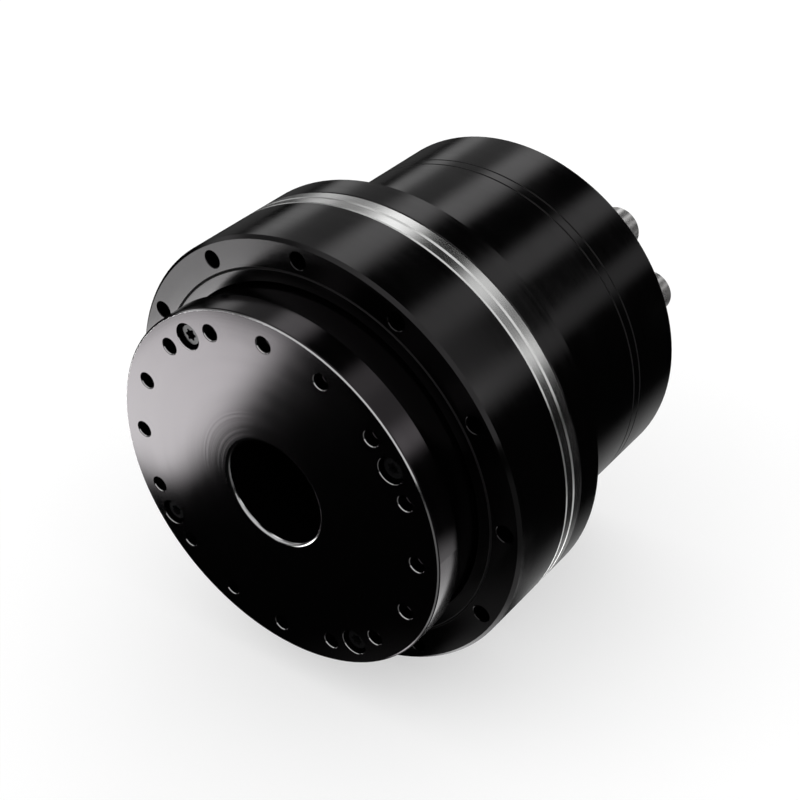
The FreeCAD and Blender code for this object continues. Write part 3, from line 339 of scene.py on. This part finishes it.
# Each finish, and the parts that have it. Grain and marks are in mm and marks per mm, and depth is
# the height of the bump in metres.
finishes = {
    "anodisedBlack": {
        "parts": ("front_housing", "motor_housing", "bearing_plate", "rear_housing", "bore_tube",
                  "seal_retainer"),
        "colour": (0.0004, 0.0004, 0.0004), "second": (0.0008, 0.0007, 0.0008), "ior": 1.45,
        "tint": (1.0, 0.965, 0.985), "rough": (0.13, 0.18),
        "marks": 5.0, "bump": 0.3, "depth": 0.000005,
        # Joints between pieces, where the broken edges are dull: (place along Y, half width) and
        # (radius, half width), in mm.
        "seams": ((99.3, 0.35), (102.8, 0.35)), "ringSeams": ((61.2, 0.45),)},
    "polishedBlack": {
        "parts": ("output_flange",),
        "colour": (0.0004, 0.0004, 0.0004), "second": (0.0008, 0.0007, 0.0008), "ior": 1.45,
        "tint": (1.0, 0.9, 0.965), "rough": (0.135, 0.15),
        "marks": 0.9, "bump": 0.3, "depth": 0.00001,
        # The marks grow deeper from the first radius to the second, by so many times.
        "centre": (32.0, 21.0, 9.0),
        # The colour of bare edges, then the edges: round rims (radius, reach) and rims of holes
        # (how many, first angle, circle radius, hole radius, depth, width), in mm and degrees.
        "bare": (0.60, 0.595, 0.6),
        "rims": ((58.2, 0.3255), (17.0, 0.93)),
        "holes": ((16, 71.25, 51.0, 2.5, 0.3, 0.17), (4, 60.0, 51.0, 4.15, 0.15, 0.13))},
    "groundSteel": {
        "parts": ("bearing_outer_ring", "flexspline"),
        "colour": (0.74, 0.74, 0.735), "second": (0.88, 0.88, 0.87), "metallic": 1.0,
        "rough": (0.2, 0.25), "marks": 7.0, "bump": 0.35, "depth": 0.000005},
    "innerSteel": {
        "parts": ("bearing_inner_ring", "circular_spline", "crossed_rollers", "front_bearing_outer",
                  "front_bearing_inner", "rear_bearing_outer", "rear_bearing_inner",
                  "wave_bearing_inner_race", "wave_bearing_ball_ring", "wave_bearing_outer_race",
                  "motor_shaft", "wave_generator_plug", "wave_generator_circlip"),
        "colour": (0.62, 0.62, 0.61), "second": (0.55, 0.55, 0.56), "metallic": 1.0,
        "rough": (0.15, 0.25), "marks": 6.0, "bump": 0.3, "depth": 0.000006},
    "blackOxide": {
        "parts": ("flange_screws", "stack_screws", "rear_screws", "spline_screws", "board_screws"),
        "colour": (0.003, 0.003, 0.0035), "second": (0.006, 0.006, 0.006), "ior": 1.25,
        "rough": (0.18, 0.22), "grain": 0.2, "bump": 0.25, "depth": 0.00001},
    "connectorSteel": {
        "parts": ("power_connector_shell", "signal_connector_shell"),
        "colour": (0.56, 0.55, 0.545), "second": (0.66, 0.65, 0.645), "metallic": 0.88,
        "rough": (0.24, 0.3), "grain": 0.3, "bump": 0.2, "depth": 0.000008},
    "insulatorBlack": {
        "parts": ("power_connector_insert", "signal_connector_insert"),
        "colour": (0.012, 0.012, 0.013), "second": (0.02, 0.02, 0.021), "rough": (0.4, 0.5),
        "grain": 0.3, "bump": 0.3, "depth": 0.00002},
    "contactBrass": {
        "parts": ("board_standoffs", "power_connector_contacts", "signal_connector_contacts"),
        "colour": (0.78, 0.57, 0.25), "second": (0.70, 0.49, 0.2),
        "metallic": 1.0, "rough": (0.2, 0.3),
        "grain": 0.3, "bump": 0.1, "depth": 0.00001},
    "sealRubber": {
        "parts": ("output_seal", "shaft_seal"),
        "colour": (0.012, 0.012, 0.012), "second": (0.022, 0.021, 0.02), "rough": (0.5, 0.65),
        "grain": 0.15, "bump": 0.4, "depth": 0.00003},
    "softIron": {
        "parts": ("stator_core", "rotor_core", "brake_magnet_body", "brake_armature_plate",
                  "brake_reaction_plate", "brake_spacer_posts", "brake_hub"),
        "colour": (0.30, 0.30, 0.32), "second": (0.38, 0.38, 0.39),
        "metallic": 1.0, "rough": (0.3, 0.45),
        "grain": 0.5, "bump": 0.2, "depth": 0.00002},
    "windingCopper": {
        "parts": ("stator_windings", "brake_coil"),
        "colour": (0.62, 0.24, 0.10), "second": (0.74, 0.33, 0.15),
        "metallic": 1.0, "rough": (0.25, 0.4),
        "marks": 2.2, "bump": 0.9, "depth": 0.00012},
    "nickelMagnet": {
        "parts": ("rotor_magnets",),
        "colour": (0.55, 0.54, 0.52), "second": (0.62, 0.61, 0.6),
        "metallic": 1.0, "rough": (0.2, 0.3),
        "grain": 0.4, "bump": 0.1, "depth": 0.00001},
    "brakeLining": {
        "parts": ("brake_friction_disc",),
        "colour": (0.06, 0.048, 0.038), "second": (0.13, 0.10, 0.07), "rough": (0.75, 0.9),
        "grain": 0.4, "bump": 0.6, "depth": 0.00006},
    "boardGreen": {
        "parts": ("drive_board",),
        "colour": (0.006, 0.085, 0.03), "second": (0.012, 0.12, 0.05), "rough": (0.3, 0.4),
        "grain": 1.2, "bump": 0.2, "depth": 0.00003},
    "chipEpoxy": {
        "parts": ("board_components", "encoder_readers"),
        "colour": (0.018, 0.018, 0.02), "second": (0.03, 0.03, 0.03), "rough": (0.5, 0.6),
        "grain": 0.2, "bump": 0.3, "depth": 0.00002},
    "encoderPlate": {
        "parts": ("motor_encoder_disc", "output_encoder_disc"),
        "colour": (0.5, 0.5, 0.52), "second": (0.62, 0.62, 0.64),
        "metallic": 1.0, "rough": (0.15, 0.22),
        "marks": 3.0, "bump": 0.1, "depth": 0.00001},
}
for name, finish in finishes.items():
    material = makeFinish(name, finish, finishBase)
    for part in finish["parts"]:
        for slot in nodes[part].material_slots:
            slot.material = material
print("finishes:", len(finishes))


# M5 threads of the output holes, in mm and degrees. The crests stand in from the drilled wall and
# fade out at both ends. Root and crest say how much of a pitch is flat at the wall and at the top.
threads = {
    "count": 16,
    "first": 71.25,
    "circle": 51.0,
    "radius": 2.5,
    "depth": 0.42,
    "pitch": 0.8,
    "start": 3.2,
    "end": 15.6,
    "root": 0.3,
    "crest": 0.3,
    "around": 24,
    "perPitch": 8,
}


def buildThreads(settings, material):
    # A point at turn u and depth y lies radius - depth x ridge from the hole's centre. The ridge is
    # a triangle wave of y / pitch - u / full turn, cut flat at root and crest, so it winds once a
    # pitch. It is scaled by how far y is from either end, up to one pitch.
    pitch, start, end = settings["pitch"], settings["start"], settings["end"]
    root, crest = settings["root"], settings["crest"]
    steps = int((end - start) / pitch * settings["perPitch"]) + 1
    fullTurn = 2 * np.pi
    turn, depth = np.meshgrid(np.linspace(0, fullTurn, settings["around"], endpoint=False),
                              np.linspace(start, end, steps))
    phase = (depth / pitch - turn / fullTurn) % 1.0
    ridge = np.clip((np.abs(2 * phase - 1) - root) / (1 - root - crest), 0, 1)
    ridge *= np.clip((depth - start) / pitch, 0, 1) * np.clip((end - depth) / pitch, 0, 1)
    reach = settings["radius"] - settings["depth"] * ridge
    step = 360.0 / settings["count"]
    for number in range(settings["count"]):
        angle = np.radians(settings["first"] + step * number)
        x = settings["circle"] * np.sin(angle) + reach * np.sin(turn)
        z = settings["circle"] * np.cos(angle) + reach * np.cos(turn)
        points = np.stack((x, depth, z), axis=-1) / mmPerMetre
        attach(gridMesh("thread%02d" % (number + 1), points, material, closed=True), "output")


buildThreads(threads, bpy.data.materials["polishedBlack"])
print("threads:", threads["count"])


# The studio. A tent of dark cloth closes it for reflections alone, with long soft strips along the
# joint axis, and bright cards lie on the floor for the same reflections. Angles are clockwise from
# +Z seen from the front; "along" is the part of a direction that lies along +Y, from -1 to 1.
studio = {
    "floorDrop": 0.0004,
    "floorSize": 6.0,
    "floorColour": 0.5,
    "floorGlow": 0.5,
    "floorRoughness": 0.9,
    "worldLevel": 0.95,
    "tentRadius": 4.0,
    "tentSteps": (96, 49),
    "cloth": 0.003,
    # Strips: angle, half width, soft edge, along from, to, soft edge, strength.
    "strips": (
        (-26.5, 4.0, 13.0, -0.4, 0.97, 0.1, 1.25),
        (27.0, 3.5, 11.5, -0.4, 0.97, 0.1, 0.72),
        (68.5, 2.5, 10.0, 0.0, 0.97, 0.1, 0.38),
        (54.0, 12.0, 10.0, -0.3, 0.67, 0.04, 0.5),
        (64.0, 4.0, 9.0, -0.3, 0.635, 0.02, 0.85),
        (-73.0, 3.0, 10.0, -0.2, 0.97, 0.1, 0.45),
        (-58.0, 14.0, 12.0, -0.4, 0.97, 0.1, 0.22),
        (10.0, 75.0, 40.0, -1.2, -0.55, 0.1, 0.75),
    ),
    # Cards: strength, then the sides as x, y, facing, soft edge, in mm and degrees.
    "cards": (
        (7.6, ((-119, -104, -16.6, 11), (-120, -53, 90, 9), (-187, -110, 180, 4),
               (-165, -151, -90, 8))),
        (2.8, ((-187, -110, 0, 4), (-192, -163, -20, 9), (-300, -110, 180, 60),
               (-200, -60, 90, 20), (-200, -230, -90, 20))),
        (1.75, ((80, 64, 118, 5), (38, 0, 180, 10), (80, 25, -60, 16), (125, 0, 0, 60))),
        (0.5, ((80, 40, 120, 10), (62, 0, 180, 14), (0, -10, -90, 9), (400, 0, 0, 100))),
        (0.14, ((400, 0, 0, 100), (70, -70, 225, 20), (0, -10, 90, 9))),
        (0.3, ((72, 100, 0, 24), (0, 64, -90, 8), (-200, 100, 180, 45), (0, 500, 90, 30))),
        (0.8, ((0, 300, -90, 30), (0, 200, -45, 20), (0, 500, 90, 120), (-150, 0, 180, 120))),
        (0.07, ((-300, 0, 0, 150), (0, 250, -90, 80))),
    ),
    # Lamps: place and size in metres, and power in watts. They aim at the origin.
    "lamps": (
        ((-0.5, -0.7, 0.9), 0.9, 2.0),
        ((0.9, 0.2, 0.8), 0.8, 1.2),
        ((-0.2, 0.9, 0.7), 0.9, 1.2),
    ),
}


def newEmission(name):
    material = bpy.data.materials.new(name)
    material.use_nodes = True
    tree = material.node_tree
    tree.nodes.clear()
    emission, output = newNode(tree, "Emission"), newNode(tree, "OutputMaterial")
    tree.links.new(emission.outputs[0], output.inputs["Surface"])
    return material, tree, emission


def between(tree, value, low, high, soft):
    # 1 inside low..high, falling softly to 0 on both sides.
    rising = smooth(tree, value, low - soft, low)
    return calc(tree, "MULTIPLY", rising, smooth(tree, value, high + soft, high))


def tentCloth(settings):
    material, tree, emission = newEmission("tentCloth")
    unit = newNode(tree, "VectorMath", operation="NORMALIZE")
    tree.links.new(newNode(tree, "TexCoord").outputs["Object"], unit.inputs[0])
    parts = newNode(tree, "SeparateXYZ")
    tree.links.new(unit.outputs[0], parts.inputs[0])
    x, y, z = parts.outputs
    halfTurn = 180.0
    angle = calc(tree, "MULTIPLY", calc(tree, "ARCTAN2", x, z), halfTurn / math.pi)
    level = settings["cloth"]
    for centre, half, soft, low, high, softAlong, strength in settings["strips"]:
        # The shortest way round from the strip's centre, 0 to half a turn.
        turned = calc(tree, "ABSOLUTE", calc(tree, "SUBTRACT", angle, centre))
        beyond = calc(tree, "ABSOLUTE", calc(tree, "SUBTRACT", turned, halfTurn))
        off = calc(tree, "SUBTRACT", halfTurn, beyond)
        strip = calc(tree, "MULTIPLY", smooth(tree, off, half + soft, half),
                     between(tree, y, low, high, softAlong))
        level = calc(tree, "MULTIPLY_ADD", strip, strength, level)
    tree.links.new(level, emission.inputs["Strength"])
    return material


def cardCloth(settings):
    material, tree, emission = newEmission("floorCards")
    parts = newNode(tree, "SeparateXYZ")
    tree.links.new(newNode(tree, "TexCoord").outputs["Object"], parts.inputs[0])
    x, y = parts.outputs[:2]
    level = settings["cloth"]
    for strength, sides in settings["cards"]:
        lit = strength
        for sideX, sideY, facing, soft in sides:
            # How far outside this side, in millimetres.
            alongX, alongY = math.cos(math.radians(facing)), math.sin(math.radians(facing))
            start = -sideX * alongX - sideY * alongY
            off = calc(tree, "MULTIPLY_ADD", x, mmPerMetre * alongX, start)
            off = calc(tree, "MULTIPLY_ADD", y, mmPerMetre * alongY, off)
            lit = calc(tree, "MULTIPLY", lit, smooth(tree, off, soft, -soft))
        level = calc(tree, "ADD", level, lit)
    tree.links.new(level, emission.inputs["Strength"])
    return material


def seenDirectly(tree):
    # 1 for the camera, for reflections and through glass; 0 for diffuse light.
    path = newNode(tree, "LightPath")
    seen = calc(tree, "MAXIMUM", path.outputs["Is Camera Ray"], path.outputs["Is Glossy Ray"])
    return calc(tree, "MAXIMUM", seen, path.outputs["Is Transmission Ray"])


def onlyReflections(thing):
    thing.visible_camera = thing.visible_diffuse = thing.visible_transmission = False
    thing.visible_shadow = thing.visible_volume_scatter = False


def buildTent(settings):
    # A sphere round the object, radius x (cos turn x cos rise, sin turn x cos rise, sin rise).
    around, upward = settings["tentSteps"]
    turn, rise = np.meshgrid(np.linspace(0, 2 * np.pi, around, endpoint=False),
                             np.linspace(-np.pi / 2, np.pi / 2, upward))
    points = settings["tentRadius"] * np.stack(
        (np.cos(turn) * np.cos(rise), np.sin(turn) * np.cos(rise), np.sin(rise)), axis=-1)
    tent = gridMesh("tent", points, tentCloth(settings), closed=True)
    onlyReflections(tent)


def flatSheet(name, size, height, material):
    # A square at the given height, from -size to size along X and along Y.
    x, y = np.meshgrid(np.array((-size, size)), np.array((-size, size)))
    sheet = gridMesh(name, np.stack((x, y, np.full_like(x, height)), axis=-1), material)
    return sheet


def floorPaper(settings):
    paper = bpy.data.materials.new("floorPaper")
    paper.use_nodes = True
    tree = paper.node_tree
    shader = tree.nodes["Principled BSDF"]
    shader.inputs["Base Color"].default_value = (*[settings["floorColour"]] * 3, 1.0)
    shader.inputs["Roughness"].default_value = settings["floorRoughness"]
    shader.inputs["Specular IOR Level"].default_value = 0.0
    # The paper's own white keeps the shadow pale, and lights nothing.
    tree.links.new(seenDirectly(tree), shader.inputs["Emission Color"])
    shader.inputs["Emission Strength"].default_value = settings["floorGlow"]
    return paper


def buildWorld(settings):
    # White where it is seen directly, and the world's own level for the light that it gives.
    world = bpy.data.worlds.new("studioWorld")
    bpy.context.scene.world = world
    world.use_nodes = True
    tree = world.node_tree
    background = tree.nodes["Background"]
    level = settings["worldLevel"]
    seen = calc(tree, "MULTIPLY_ADD", seenDirectly(tree), 1.0 - level, level)
    tree.links.new(seen, background.inputs["Strength"])
    background.inputs["Color"].default_value = (1.0, 1.0, 1.0, 1.0)


def buildLamps(settings):
    for number, (spot, size, power) in enumerate(settings["lamps"]):
        data = bpy.data.lights.new("lamp%d" % number, "AREA")
        data.shape, data.size, data.energy = "SQUARE", size, power
        lamp = bpy.data.objects.new("lamp%d" % number, data)
        lamp.visible_glossy = lamp.visible_camera = False
        aim = Vector(spot).to_track_quat("Z", "Y").to_matrix().to_4x4()
        lamp.matrix_world = Matrix.Translation(spot) @ aim
        bpy.context.scene.collection.objects.link(lamp)


buildTent(studio)
floorZ = cadBox[0][2] - studio["floorDrop"]
cardZ = floorZ + studio["floorDrop"] / 2
onlyReflections(flatSheet("floorCards", studio["tentRadius"], cardZ, cardCloth(studio)))
flatSheet("floor", studio["floorSize"], floorZ, floorPaper(studio))
buildWorld(studio)
buildLamps(studio)
bpy.context.scene.view_settings.view_transform = "Standard"
print("studio ready")
